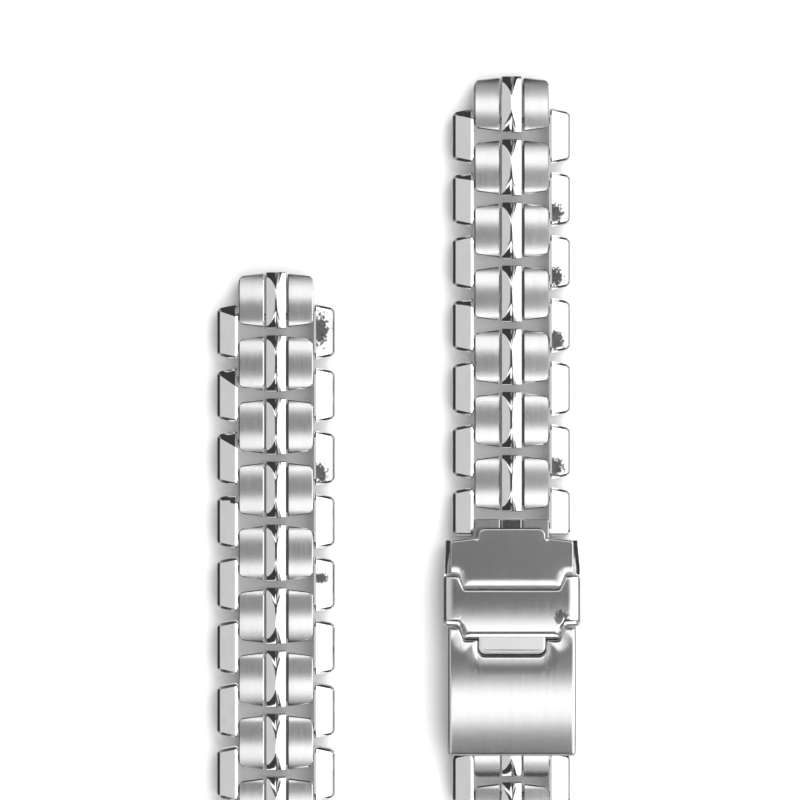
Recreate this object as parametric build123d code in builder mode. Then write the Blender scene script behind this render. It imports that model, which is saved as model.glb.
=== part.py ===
"""Steel link watch bracelet, parted at a link pin and laid out as its two lengths.

Each length runs along Y with its outer face up. Brushed and polished three-part centre links
alternate with pairs of polished side links, and every pin is a hinge. The right length carries
a folding clasp with a safety catch. The origin lies under the middle of the whole layout.
"""
from build123d import *
import os

os.makedirs("parts", exist_ok=True)

# All lengths are in millimetres. "Down" means along a length towards -Y.

# Bracelet as a whole
LINK_PITCH = 9.86            # one centre link to the next
BAND_WIDTH = 18.3            # over both side links
LINK_THICKNESS = 3.2         # over the crown of a link
LENGTH_SPACING = 36.8        # middle of the left length to the middle of the right one
LENGTH_STEP = 30.6           # how much further up the right length begins
LEFT_LINKS = 9               # centre links in the left length
RIGHT_LINKS = 7              # centre links above the clasp in the right length

# Centre link: one block of steel whose face has a polished bar between two brushed flanks
CENTRE_WIDTH = 11.6
BAR_WIDTH = 3.1
BAR_LENGTH = 8.8
GROOVE_WIDTH = 0.3           # groove on either side of the bar
GROOVE_DEPTH = 0.3
FLANK_STEP = 0.2             # how far a flank's end stands in from the bar's end beside it
FLANK_SETBACK = 0.35         # how much further it stands in at its outer corner
CROWN = 0.22                 # rise of a link's top from its ends to its middle
NOSE_BEVEL = 0.35            # bevel on the upper corner of a link's end
HEEL_BEVEL = 0.5             # bevel on the lower corner of a link's end
SMALL_RADIUS = 0.15          # radius or bevel of small corners

# Side link
SIDE_CLEARANCE = 0.15        # between a side link and a centre link
SIDE_LENGTH = 8.66           # along its inner edge
SIDE_SETBACK = 0.6           # how far its outer corner stands in from its inner one
SIDE_CORNER_BEVEL = 0.35     # bevel on the outer corners, seen from above
SIDE_INNER_BEVEL = 0.3       # bevel along the inner upper edge
SIDE_OUTER_BEVEL = 0.45      # bevel along the outer upper edge

# Pins. Repeated pins and the bores around them are drawn with few sides.
PIN_SIDES = 8
KNUCKLE_SIDES = 16
PIN_RADIUS = 0.5
PIN_HEIGHT = 1.6             # above the underside
PIN_CLEARANCE = 0.05         # between a pin and the centre link that turns on it
PIN_RECESS = 0.15            # how far a pin's end lies inside the side link's outer face
CASE_BORE_RADIUS = 0.9       # for the spring bar between the watch case's lugs
PIN_OFFSET = LINK_PITCH / 4  # middle of a link to either of its pins
PIN_STEP = LINK_PITCH / 2    # one pin to the next

# Clasp, measured down from the pin that joins it to the last side links
LUG_PIN_STEP = 4.17          # last centre link's lower pin to the clasp's pin
LUG_NOSE = 1.0               # how far the clasp's lug reaches above its pin
LUG_TOP = 3.1                # height of the lug and of the hood's underside
LUG_LEDGE = 1.5              # how far the lug lies over the blade
NOSE_CLEARANCE = 0.15        # between the last side links and the hood
HOOD_WIDTH = 19.2
HOOD_TONGUE_START = 0.3
HOOD_TONGUE_WIDTH = 10.45
HOOD_TONGUE_RADIUS = 1.1
HOOD_SHOULDER_SLANT = 0.55   # how much lower a shoulder is outside than inside
HOOD_SHOULDER_RADIUS = 0.5
HOOD_SIDE_END = 7.5
HOOD_END = 9.6
HOOD_WALL = 0.7              # front wall and both cheeks
HOOD_FRONT_HEIGHT = 4.35     # top of the tongue's end
HOOD_CROWN_HEIGHT = 4.58
HOOD_BACK_HEIGHT = 4.72
HOOD_MARGIN = 1.3            # length of the part that falls to the lower edge
HOOD_MARGIN_HEIGHT = 4.2
STEP_INSET = 1.3             # hood's side to the outer end of the S-shaped step
STEP_SPREAD = 0.8            # across the hood from one end of that step to the other
STEP_RADIUS = 0.7
DECK_END = 15.2              # end of the deck below the catch
DECK_HEIGHT = 3.9

# Safety catch
CATCH_WALL = 0.8
CATCH_SIDE_CLEARANCE = 0.3   # between the hood's cheek and the catch's side wall
CATCH_SEAM = 0.15            # seam between hood and catch
CATCH_PIVOT_DROP = 4.5
CATCH_PIVOT_HEIGHT = 2.2
CATCH_STUD_RADIUS = 0.6
CATCH_STUD_CLEARANCE = 0.05
CATCH_EAR_REACH = 2.2        # how far an ear reaches above the pivot
CATCH_EAR_TAPER = 0.55       # how far an ear's tip stands in from the catch's side
CATCH_EAR_HEIGHT = 1.3       # an ear's half height at the pivot
CATCH_EAR_TIP_HEIGHT = 0.7   # its half height at the tip
CATCH_SKIRT_HEIGHT = 1.0     # height of the side walls' lower edge
CATCH_TOP = 4.75
CATCH_CROWN_TOP = 4.95
CATCH_UNDERSIDE = 4.1
CATCH_SIDE_END = 15.6
CATCH_END = 17.6
CATCH_RIM = 0.9              # length of the bevel along the lower rim
CATCH_RIM_HEIGHT = 4.3
CATCH_LIP_HEIGHT = 3.5       # underside of the thickened rim
CATCH_LIP_CLEARANCE = 0.2    # between that rim and the deck's end
TAB_WIDTH = 10.45
TAB_END = 20.0
TAB_RADIUS = 1.2
TAB_OVERLAP = 1.6            # how far the tab runs back into the rim
TAB_UNDERSIDE = 3.6
TAB_THICKNESS = 0.65
TAB_BEVEL = 0.2

# Cover
COVER_OVERHANG = 0.4         # how far the cover reaches past the hood's side
COVER_SEAM = 0.15            # seam between catch and cover
COVER_END = 35.8
COVER_WALL = 0.7
COVER_CORNER_RADIUS = 0.5
COVER_SKIRT_HEIGHT = 0.9
COVER_FRONT_HEIGHT = 4.55
COVER_CROWN_HEIGHT = 5.0
COVER_BACK_HEIGHT = 4.35
COVER_UNDERSIDE = 3.75
COVER_SIDE_HEIGHT = 4.2      # top of its upright side walls
COVER_EDGE_BEVEL = 0.6       # width of the slope from there to the top
ADJUSTER_HOLES = 3           # on each side
ADJUSTER_STEP = 2.6          # one adjuster hole to the next
ADJUSTER_HOLE_RADIUS = 0.45
ADJUSTER_DROP = 33.55        # the adjuster hole in use

# Blades and their two hinges
BLADE_THICKNESS = 0.8
BLADE_INSET = 1.6            # hood's side to the blades' edge
MIDDLE_BLADE_BASE = 1.1
FOLD_DROP = 30.6             # hinge between lower and middle blade
FOLD_HEIGHT = 0.95
FOLD_KNUCKLE_RADIUS = 0.9
FOLD_KNUCKLE_WIDTH = 8.0     # the middle blade's knuckle
FOLD_INSET = 0.5             # blades' edge to the lower blade's outer knuckles
LINK_HINGE_DROP = 18.7       # hinge between middle blade and cover
LINK_HINGE_HEIGHT = 2.0
LINK_KNUCKLE_RADIUS = 0.8
FORK_INSET = 1.1             # blades' edge to the outside of the middle blade's arms
FORK_ARM = 1.4               # width of each arm
FORK_START = 20.5            # where the arms leave the plate
HANGER_WIDTH = 1.4
HINGE_PIN_RADIUS = 0.4
HINGE_PIN_CLEARANCE = 0.05
KNUCKLE_CLEARANCE = 0.15     # between neighbouring knuckles
FOLD_CUTBACK = 0.25          # between a knuckle and the plate that it turns against

# Links below the clasp
ADJUSTER_BAR_RADIUS = 0.75
ADJUSTER_TIP_RADIUS = 0.4
ADJUSTER_BAR_GAP = 0.1       # bar's shoulder to the cover's wall
END_LINK_NOSE = 1.25         # how far the end link reaches above the adjuster bar
END_LINK_PIN_STEP = 3.58     # adjuster bar to the end link's lower pin
END_LINK_TAIL = 2.03         # how far it reaches below that pin

# One overrun serves all cuts
OVERRUN = 2.0

# Derived places
SIDE_INNER = CENTRE_WIDTH / 2 + SIDE_CLEARANCE
BAND_HALF = BAND_WIDTH / 2
BORE_RADIUS = PIN_RADIUS + PIN_CLEARANCE
STEP_WIDTH_OUT = HOOD_WIDTH - STEP_INSET * 2
STEP_WIDTH_IN = STEP_WIDTH_OUT - STEP_SPREAD * 2
CATCH_WIDTH = HOOD_WIDTH + (CATCH_SIDE_CLEARANCE + CATCH_WALL) * 2
CATCH_EAR_TIP_WIDTH = CATCH_WIDTH - CATCH_EAR_TAPER * 2
COVER_WIDTH = HOOD_WIDTH + COVER_OVERHANG * 2
BLADE_WIDTH = HOOD_WIDTH - BLADE_INSET * 2
FOLD_WIDTH = BLADE_WIDTH - FOLD_INSET * 2
FORK_GAP = BLADE_WIDTH - (FORK_INSET + FORK_ARM) * 2
LAYOUT_WIDTH = BAND_HALF + LENGTH_SPACING + CATCH_WIDTH / 2
LEFT_X = BAND_HALF - LAYOUT_WIDTH / 2
RIGHT_X = LEFT_X + LENGTH_SPACING
LAYOUT_LENGTH = (BAR_LENGTH + SIDE_LENGTH) / 2 + LENGTH_STEP + LINK_PITCH * (LEFT_LINKS - 1) + PIN_STEP
RIGHT_TOP = (LAYOUT_LENGTH - BAR_LENGTH) / 2
LEFT_TOP = RIGHT_TOP - LENGTH_STEP
LAST_PIN_Y = RIGHT_TOP - LINK_PITCH * (RIGHT_LINKS - 1) - PIN_OFFSET
CLASP_Y = LAST_PIN_Y - LUG_PIN_STEP
SHOULDER_START = LINK_THICKNESS / 2 + NOSE_CLEARANCE
BLADE_START = SHOULDER_START + HOOD_SHOULDER_SLANT + HOOD_WALL
STUB_PIN_DROP = ADJUSTER_DROP + END_LINK_PIN_STEP
STUB_PAIR_Y = CLASP_Y - STUB_PIN_DROP - PIN_OFFSET
STUB_CENTRE_Y = STUB_PAIR_Y - PIN_STEP


def plan(x, y, height):
    """Level plane: its x runs down the length, its y across to +X."""
    return Plane(origin=(x, y, height), x_dir=(0, -1, 0), z_dir=(0, 0, 1))


def side_view(x, y):
    """Upright plane along the length: its x runs down, its y up."""
    return Plane(origin=(x, y, 0), x_dir=(0, -1, 0), z_dir=(-1, 0, 0))


def end_view(x, y):
    """Upright plane across the length: its x runs to +X, its y up."""
    return Plane(origin=(x, y, 0), x_dir=(1, 0, 0), z_dir=(0, -1, 0))


def save(shape, name):
    """Label one finished piece and write it under its own name."""
    shape.label = name
    export_step(shape, f"parts/{name}.step")


def link_outline(start, end):
    """Side outline of a link: bevelled corners, flat below and gently arched above."""
    shoulder = LINK_THICKNESS - CROWN
    with BuildLine(mode=Mode.PRIVATE) as outline:
        arch = ThreePointArc((start + NOSE_BEVEL, shoulder), ((start + end) / 2, LINK_THICKNESS),
                             (end - NOSE_BEVEL, shoulder))
        Polyline(arch @ 1, (end, shoulder - NOSE_BEVEL), (end, HEEL_BEVEL), (end - HEEL_BEVEL, 0),
                 (start + HEEL_BEVEL, 0), (start, HEEL_BEVEL), (start, shoulder - NOSE_BEVEL), arch @ 0)
    return outline.line


def cut_bore(drop, radius, is_round):
    """Bore across a link at pin height, in the side view being drawn."""
    with Locations((drop, PIN_HEIGHT)):
        if is_round:
            Circle(radius, mode=Mode.SUBTRACT)
        else:
            RegularPolygon(radius, PIN_SIDES, major_radius=False, mode=Mode.SUBTRACT)


def centre_block(name, x, y, outline, bores, start, end, step, setback):
    """Grooved centre link. bores holds the drop and radius of each, and whether it is round."""
    bar = BAR_WIDTH / 2
    half = CENTRE_WIDTH / 2
    with BuildPart() as link:
        with BuildSketch(side_view(x, y)):
            with BuildLine():
                add(outline)
            make_face()
            for drop, radius, is_round in bores:
                cut_bore(drop, radius, is_round)
        extrude(amount=half, both=True)
        with BuildSketch(plan(x, y, 0)):
            with BuildLine():
                right = [(start + step + setback, half), (end - step - setback, half)]
                if step:
                    right = [(start, bar), (start + step, bar), *right, (end - step, bar), (end, bar)]
                left = [(drop, -across) for drop, across in reversed(right)]
                Polyline(*right, *left, close=True)
            make_face()
        extrude(amount=LINK_THICKNESS, mode=Mode.INTERSECT)
        for hand in (-1, 1):
            with BuildSketch(side_view(x + hand * (bar + GROOVE_WIDTH / 2), y)):
                with BuildLine():
                    low = LINK_THICKNESS - CROWN - GROOVE_DEPTH
                    arch = ThreePointArc((start, low), ((start + end) / 2, low + CROWN), (end, low))
                    Polyline(arch @ 1, (end, LINK_THICKNESS), (start, LINK_THICKNESS), arch @ 0)
                make_face()
            extrude(amount=GROOVE_WIDTH / 2, both=True, mode=Mode.SUBTRACT)
    save(link.part, name)


def centre_link(name, x, y, bore_up, bore_down):
    """Ordinary centre link around its own middle."""
    half = BAR_LENGTH / 2
    bores = ((-PIN_OFFSET, *bore_up), (PIN_OFFSET, *bore_down))
    centre_block(name, x, y, link_outline(-half, half), bores, -half, half, FLANK_STEP, FLANK_SETBACK)


def side_link(x, y, hand, start, end, pins, open_pin, round_end):
    """Polished side link, shorter along its outer edge. A round end follows the pin's middle."""
    inner = hand * SIDE_INNER
    outer = hand * BAND_HALF
    shoulder = LINK_THICKNESS - CROWN
    tail_setback = 0 if round_end else SIDE_SETBACK
    with BuildPart() as link:
        with BuildSketch(side_view(x + inner, y)):
            with BuildLine():
                if round_end:
                    top = (pins[1], LINK_THICKNESS)
                    foot = (pins[1], 0)
                    ThreePointArc(top, (end, PIN_HEIGHT), foot)
                    Line(foot, (start + HEEL_BEVEL, 0))
                    arch = ThreePointArc((start + NOSE_BEVEL, shoulder),
                                         ((start + pins[1]) / 2, LINK_THICKNESS - CROWN / 4), top)
                else:
                    arch = ThreePointArc((start + NOSE_BEVEL, shoulder),
                                         ((start + end) / 2, LINK_THICKNESS),
                                         (end - NOSE_BEVEL, shoulder))
                    Polyline(arch @ 1, (end, shoulder - NOSE_BEVEL), (end, HEEL_BEVEL),
                             (end - HEEL_BEVEL, 0), (start + HEEL_BEVEL, 0))
                Polyline((start + HEEL_BEVEL, 0), (start, HEEL_BEVEL),
                         (start, shoulder - NOSE_BEVEL), arch @ 0)
            make_face()
            for drop in pins:
                with Locations((drop, PIN_HEIGHT)):
                    if drop == open_pin:
                        Circle(PIN_RADIUS, mode=Mode.SUBTRACT)
                    else:
                        RegularPolygon(PIN_RADIUS, PIN_SIDES, mode=Mode.SUBTRACT)
        extrude(amount=inner - outer)
        with BuildSketch(plan(x, y, 0)):
            with BuildLine():
                corner = outer - hand * SIDE_CORNER_BEVEL
                upper = start + SIDE_SETBACK
                lower = end - tail_setback
                Polyline((start, inner), (end, inner), (lower, corner),
                         (lower - SIDE_CORNER_BEVEL, outer), (upper + SIDE_CORNER_BEVEL, outer),
                         (upper, corner), close=True)
            make_face()
        extrude(amount=LINK_THICKNESS, mode=Mode.INTERSECT)
        with BuildSketch(end_view(x, y)):
            with BuildLine():
                Polyline((inner, 0), (inner, shoulder), (inner + hand * SIDE_INNER_BEVEL, LINK_THICKNESS),
                         (outer - hand * SIDE_OUTER_BEVEL, LINK_THICKNESS),
                         (outer, shoulder - SMALL_RADIUS), (outer, 0), close=True)
            make_face()
        extrude(amount=LINK_PITCH, both=True, mode=Mode.INTERSECT)
    return link.part


def rod(x, y, drop, height, radius, half_length):
    """Plain pin across the length, drawn with few sides."""
    with BuildPart() as pin:
        with BuildSketch(side_view(x, y)):
            with Locations((drop, height)):
                RegularPolygon(radius, PIN_SIDES)
        extrude(amount=half_length, both=True)
    return pin.part


def side_pair(name, x, y, start, end, pins, open_pin=None, round_end=False):
    """Two side links with their pins. The open pin's bore is left empty."""
    pieces = [side_link(x, y, hand, start, end, pins, open_pin, round_end) for hand in (-1, 1)]
    for drop in pins:
        if drop != open_pin:
            pieces.append(rod(x, y, drop, PIN_HEIGHT, PIN_RADIUS, BAND_HALF - PIN_RECESS))
    save(Compound(children=pieces), name)


# Links of both lengths
both_pins = (-PIN_OFFSET, PIN_OFFSET)
half_side = SIDE_LENGTH / 2
case_bore = (CASE_BORE_RADIUS, True)
pin_bore = (BORE_RADIUS, False)
for side_name, x, top, count in (("left", LEFT_X, LEFT_TOP, LEFT_LINKS),
                                 ("right", RIGHT_X, RIGHT_TOP, RIGHT_LINKS)):
    for index in range(count):
        y = top - LINK_PITCH * index
        upper = case_bore if index == 0 else pin_bore
        centre_link(f"{side_name}_centre_link_{index + 1:02d}", x, y, upper, pin_bore)
        if side_name == "right" and index == count - 1:
            continue
        open_pin = PIN_OFFSET if index == count - 1 else None
        side_pair(f"{side_name}_side_links_{index + 1:02d}", x, y - PIN_STEP,
                  -half_side, half_side, both_pins, open_pin)

# The last pair of the right length turns on the clasp's lug and ends square and round-nosed
side_pair(f"right_side_links_{RIGHT_LINKS:02d}", RIGHT_X, CLASP_Y,
          PIN_OFFSET - half_side - LUG_PIN_STEP, LINK_THICKNESS / 2, (-LUG_PIN_STEP, 0), round_end=True)

# Lug of the clasp: a grooved end between the last side links, stepped to lie on the blade
lug_end = BLADE_START + LUG_LEDGE
with BuildPart() as lug:
    with BuildSketch(side_view(RIGHT_X, CLASP_Y)):
        with BuildLine():
            Polyline((-LUG_NOSE + SMALL_RADIUS, LUG_TOP), (lug_end, LUG_TOP), (lug_end, BLADE_THICKNESS),
                     (BLADE_START, BLADE_THICKNESS), (BLADE_START, 0), (0, 0), (-LUG_NOSE, HEEL_BEVEL),
                     (-LUG_NOSE, LUG_TOP - SMALL_RADIUS), close=True)
        make_face()
        with Locations((0, PIN_HEIGHT)):
            RegularPolygon(BORE_RADIUS, PIN_SIDES, major_radius=False, mode=Mode.SUBTRACT)
    extrude(amount=CENTRE_WIDTH / 2, both=True)
    with BuildSketch(plan(RIGHT_X, CLASP_Y, LUG_TOP)):
        for hand in (-1, 1):
            with Locations((0, hand * (BAR_WIDTH + GROOVE_WIDTH) / 2)):
                Rectangle(lug_end * 2, GROOVE_WIDTH)
    extrude(amount=-GROOVE_DEPTH, mode=Mode.SUBTRACT)
save(lug.part, "clasp_end_lug")

# Lower blade with its two outer knuckles
fold_gap = FOLD_KNUCKLE_WIDTH / 2 + KNUCKLE_CLEARANCE
with BuildPart() as lower_blade:
    with BuildSketch(plan(RIGHT_X, CLASP_Y, 0)):
        with BuildLine():
            Polyline((BLADE_START, -HOOD_WIDTH / 2 + HOOD_WALL), (BLADE_START, HOOD_WIDTH / 2 - HOOD_WALL),
                     (DECK_END, HOOD_WIDTH / 2 - HOOD_WALL), (DECK_END + HOOD_WALL, BLADE_WIDTH / 2),
                     (FOLD_DROP - FOLD_KNUCKLE_RADIUS, FOLD_WIDTH / 2), (FOLD_DROP, FOLD_WIDTH / 2),
                     (FOLD_DROP, -FOLD_WIDTH / 2), (FOLD_DROP - FOLD_KNUCKLE_RADIUS, -FOLD_WIDTH / 2),
                     (DECK_END + HOOD_WALL, -BLADE_WIDTH / 2),
                     (DECK_END, -HOOD_WIDTH / 2 + HOOD_WALL), close=True)
        make_face()
    extrude(amount=BLADE_THICKNESS)
    with BuildSketch(side_view(RIGHT_X, CLASP_Y)):
        with Locations((FOLD_DROP, FOLD_HEIGHT)):
            RegularPolygon(FOLD_KNUCKLE_RADIUS, KNUCKLE_SIDES)
    extrude(amount=FOLD_WIDTH / 2, both=True)
    with BuildSketch(side_view(RIGHT_X, CLASP_Y)):
        with BuildLine():
            notch = FOLD_DROP - FOLD_KNUCKLE_RADIUS - FOLD_CUTBACK
            Polyline((notch, -OVERRUN), (FOLD_DROP + OVERRUN, -OVERRUN),
                     (FOLD_DROP + OVERRUN, FOLD_HEIGHT + OVERRUN), (notch, FOLD_HEIGHT + OVERRUN),
                     close=True)
        make_face()
    extrude(amount=fold_gap, both=True, mode=Mode.SUBTRACT)
    with BuildSketch(side_view(RIGHT_X, CLASP_Y)):
        with Locations((FOLD_DROP, FOLD_HEIGHT)):
            RegularPolygon(HINGE_PIN_RADIUS, PIN_SIDES)
    extrude(amount=FOLD_WIDTH, both=True, mode=Mode.SUBTRACT)
save(lower_blade.part, "clasp_lower_blade")
save(rod(RIGHT_X, CLASP_Y, FOLD_DROP, FOLD_HEIGHT, HINGE_PIN_RADIUS, FOLD_WIDTH / 2), "clasp_fold_pin")

# Middle blade: a knuckle at the fold, a plate, and two arms up to the cover's hinge
plate_end = FOLD_DROP - FOLD_KNUCKLE_RADIUS - FOLD_CUTBACK
arm_out = FORK_GAP / 2 + FORK_ARM
with BuildPart() as middle_blade:
    with BuildSketch(plan(RIGHT_X, CLASP_Y, MIDDLE_BLADE_BASE)):
        with BuildLine():
            Polyline((LINK_HINGE_DROP, arm_out), (FORK_START, arm_out), (FORK_START, BLADE_WIDTH / 2),
                     (plate_end, FOLD_WIDTH / 2), (plate_end, FOLD_KNUCKLE_WIDTH / 2),
                     (FOLD_DROP, FOLD_KNUCKLE_WIDTH / 2), (FOLD_DROP, -FOLD_KNUCKLE_WIDTH / 2),
                     (plate_end, -FOLD_KNUCKLE_WIDTH / 2), (plate_end, -FOLD_WIDTH / 2),
                     (FORK_START, -BLADE_WIDTH / 2), (FORK_START, -arm_out),
                     (LINK_HINGE_DROP, -arm_out), (LINK_HINGE_DROP, -FORK_GAP / 2),
                     (FORK_START + FORK_ARM, -FORK_GAP / 2), (FORK_START + FORK_ARM, FORK_GAP / 2),
                     (LINK_HINGE_DROP, FORK_GAP / 2), close=True)
        make_face()
    extrude(amount=BLADE_THICKNESS)
    with BuildSketch(side_view(RIGHT_X, CLASP_Y)):
        with Locations((FOLD_DROP, FOLD_HEIGHT)):
            RegularPolygon(FOLD_KNUCKLE_RADIUS, KNUCKLE_SIDES)
    extrude(amount=FOLD_KNUCKLE_WIDTH / 2, both=True)
    for hand in (-1, 1):
        with BuildSketch(side_view(RIGHT_X + hand * (FORK_GAP + FORK_ARM) / 2, CLASP_Y)):
            with Locations((LINK_HINGE_DROP, LINK_HINGE_HEIGHT)):
                RegularPolygon(LINK_KNUCKLE_RADIUS, KNUCKLE_SIDES)
        extrude(amount=FORK_ARM / 2, both=True)
    with BuildSketch(side_view(RIGHT_X, CLASP_Y)):
        with Locations((FOLD_DROP, FOLD_HEIGHT)):
            RegularPolygon(HINGE_PIN_RADIUS + HINGE_PIN_CLEARANCE, PIN_SIDES, major_radius=False)
        with Locations((LINK_HINGE_DROP, LINK_HINGE_HEIGHT)):
            RegularPolygon(HINGE_PIN_RADIUS, PIN_SIDES)
    extrude(amount=BLADE_WIDTH, both=True, mode=Mode.SUBTRACT)
save(middle_blade.part, "clasp_middle_blade")

# Two short pins join the arms to the cover's hangers
hanger_in = arm_out + KNUCKLE_CLEARANCE
hanger_out = hanger_in + HANGER_WIDTH
hinge_pins = []
for hand in (-1, 1):
    hinge_pins.append(rod(RIGHT_X + hand * (FORK_GAP / 2 + hanger_out) / 2, CLASP_Y, LINK_HINGE_DROP,
                          LINK_HINGE_HEIGHT, HINGE_PIN_RADIUS, (hanger_out - FORK_GAP / 2) / 2))
save(Compound(children=hinge_pins), "cover_hinge_pins")

# Hood: tongue, shoulders, cheeks and the deck that the catch closes over
with BuildPart() as hood:
    with BuildSketch(plan(RIGHT_X, CLASP_Y, 0)):
        with BuildLine():
            half = HOOD_WIDTH / 2
            tongue = HOOD_TONGUE_WIDTH / 2
            slant = SHOULDER_START + HOOD_SHOULDER_SLANT
            right = [(HOOD_TONGUE_START, tongue), (SHOULDER_START, tongue), (slant, half),
                     (HOOD_SIDE_END, half), (HOOD_SIDE_END, STEP_WIDTH_OUT / 2),
                     (HOOD_END, STEP_WIDTH_IN / 2)]
            radii = [HOOD_TONGUE_RADIUS, 0, HOOD_SHOULDER_RADIUS, 0, STEP_RADIUS, STEP_RADIUS]
            left = [(drop, -across) for drop, across in reversed(right)]
            FilletPolyline(*right, *left, close=True, radius=radii + radii[::-1])
        make_face()
    extrude(amount=HOOD_BACK_HEIGHT)
    with BuildSketch(side_view(RIGHT_X, CLASP_Y)):
        with BuildLine():
            crest = HOOD_END - HOOD_MARGIN
            arch = ThreePointArc((HOOD_TONGUE_START, HOOD_FRONT_HEIGHT),
                                 ((HOOD_TONGUE_START + crest) / 2, HOOD_CROWN_HEIGHT),
                                 (crest, HOOD_BACK_HEIGHT))
            Polyline(arch @ 1, (HOOD_END, HOOD_MARGIN_HEIGHT), (HOOD_END, 0), (SHOULDER_START, 0),
                     (SHOULDER_START, LUG_TOP), (HOOD_TONGUE_START, LUG_TOP), arch @ 0)
        make_face()
    extrude(amount=HOOD_WIDTH, both=True, mode=Mode.INTERSECT)
    with BuildSketch(plan(RIGHT_X, CLASP_Y, 0)):
        with Locations(((BLADE_START + DECK_END) / 2, 0)):
            Rectangle(DECK_END - BLADE_START, HOOD_WIDTH)
    extrude(amount=DECK_HEIGHT)
    with BuildSketch(plan(RIGHT_X, CLASP_Y, 0)):
        with BuildLine():
            cheek = HOOD_WIDTH / 2 - HOOD_WALL
            lug_half = CENTRE_WIDTH / 2
            Polyline((0, lug_half), (BLADE_START, lug_half), (BLADE_START, cheek), (DECK_END, cheek),
                     (DECK_END, -cheek), (BLADE_START, -cheek), (BLADE_START, -lug_half),
                     (0, -lug_half), close=True)
        make_face()
    extrude(amount=LUG_TOP, mode=Mode.SUBTRACT)
    with BuildSketch(side_view(RIGHT_X, CLASP_Y)):
        with Locations((CATCH_PIVOT_DROP, CATCH_PIVOT_HEIGHT)):
            RegularPolygon(CATCH_STUD_RADIUS, PIN_SIDES)
    extrude(amount=HOOD_WIDTH, both=True, mode=Mode.SUBTRACT)
save(hood.part, "clasp_hood")

# Studs that the catch turns on
studs = []
stud_in = HOOD_WIDTH / 2 - HOOD_WALL
stud_out = CATCH_EAR_TIP_WIDTH / 2
for hand in (-1, 1):
    studs.append(rod(RIGHT_X + hand * (stud_in + stud_out) / 2, CLASP_Y, CATCH_PIVOT_DROP,
                     CATCH_PIVOT_HEIGHT, CATCH_STUD_RADIUS, (stud_out - stud_in) / 2))
save(Compound(children=studs), "catch_pivot_studs")

# Safety catch: a plate with side walls, ears at the pivot, a bevelled rim and a lift tab
catch_start = HOOD_SIDE_END + CATCH_SEAM
catch_inner = CATCH_WIDTH / 2 - CATCH_WALL
ear_tip = CATCH_PIVOT_DROP - CATCH_EAR_REACH
with BuildPart() as catch:
    with BuildSketch(plan(RIGHT_X, CLASP_Y, CATCH_SKIRT_HEIGHT)):
        with BuildLine():
            half = CATCH_WIDTH / 2
            right = [(HOOD_END + CATCH_SEAM, STEP_WIDTH_IN / 2), (catch_start, STEP_WIDTH_OUT / 2),
                     (catch_start, catch_inner), (ear_tip, catch_inner),
                     (ear_tip, CATCH_EAR_TIP_WIDTH / 2), (catch_start, half), (CATCH_SIDE_END, half),
                     (CATCH_SIDE_END, STEP_WIDTH_OUT / 2), (CATCH_END, STEP_WIDTH_IN / 2)]
            radii = [STEP_RADIUS, STEP_RADIUS, 0, 0, 0, STEP_RADIUS, COVER_CORNER_RADIUS,
                     STEP_RADIUS, STEP_RADIUS]
            left = [(drop, -across) for drop, across in reversed(right)]
            FilletPolyline(*right, *left, close=True, radius=radii + radii[::-1])
        make_face()
    extrude(amount=CATCH_CROWN_TOP)
    with BuildSketch(side_view(RIGHT_X, CLASP_Y)):
        with BuildLine():
            rim_start = CATCH_END - CATCH_RIM
            arch = ThreePointArc((catch_start, CATCH_TOP), ((catch_start + rim_start) / 2, CATCH_CROWN_TOP),
                                 (rim_start, CATCH_TOP))
            Polyline(arch @ 1, (CATCH_END, CATCH_RIM_HEIGHT), (CATCH_END, CATCH_SKIRT_HEIGHT),
                     (CATCH_PIVOT_DROP, CATCH_PIVOT_HEIGHT - CATCH_EAR_HEIGHT),
                     (ear_tip, CATCH_PIVOT_HEIGHT - CATCH_EAR_TIP_HEIGHT),
                     (ear_tip, CATCH_PIVOT_HEIGHT + CATCH_EAR_TIP_HEIGHT),
                     (CATCH_PIVOT_DROP, CATCH_PIVOT_HEIGHT + CATCH_EAR_HEIGHT), arch @ 0)
        make_face()
    extrude(amount=CATCH_WIDTH, both=True, mode=Mode.INTERSECT)
    with BuildSketch(side_view(RIGHT_X, CLASP_Y)):
        with BuildLine():
            lip = DECK_END + CATCH_LIP_CLEARANCE
            Polyline((0, 0), (CATCH_END + OVERRUN, 0), (CATCH_END + OVERRUN, CATCH_LIP_HEIGHT),
                     (lip, CATCH_LIP_HEIGHT), (lip, CATCH_UNDERSIDE), (0, CATCH_UNDERSIDE), close=True)
        make_face()
    extrude(amount=catch_inner, both=True, mode=Mode.SUBTRACT)
    with BuildSketch(plan(RIGHT_X, CLASP_Y, TAB_UNDERSIDE)):
        with BuildLine():
            half = TAB_WIDTH / 2
            FilletPolyline((CATCH_END - TAB_OVERLAP, half), (TAB_END, half), (TAB_END, -half),
                           (CATCH_END - TAB_OVERLAP, -half), close=True,
                           radius=(0, TAB_RADIUS, TAB_RADIUS, 0))
        make_face()
    extrude(amount=TAB_THICKNESS)
    chamfer(catch.edges().group_by(Axis.Y)[0].sort_by(Axis.Z)[-1], length=TAB_BEVEL)
    with BuildSketch(side_view(RIGHT_X, CLASP_Y)):
        with Locations((CATCH_PIVOT_DROP, CATCH_PIVOT_HEIGHT)):
            RegularPolygon(CATCH_STUD_RADIUS + CATCH_STUD_CLEARANCE, PIN_SIDES, major_radius=False)
    extrude(amount=CATCH_WIDTH, both=True, mode=Mode.SUBTRACT)
save(catch.part, "safety_catch")

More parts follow.
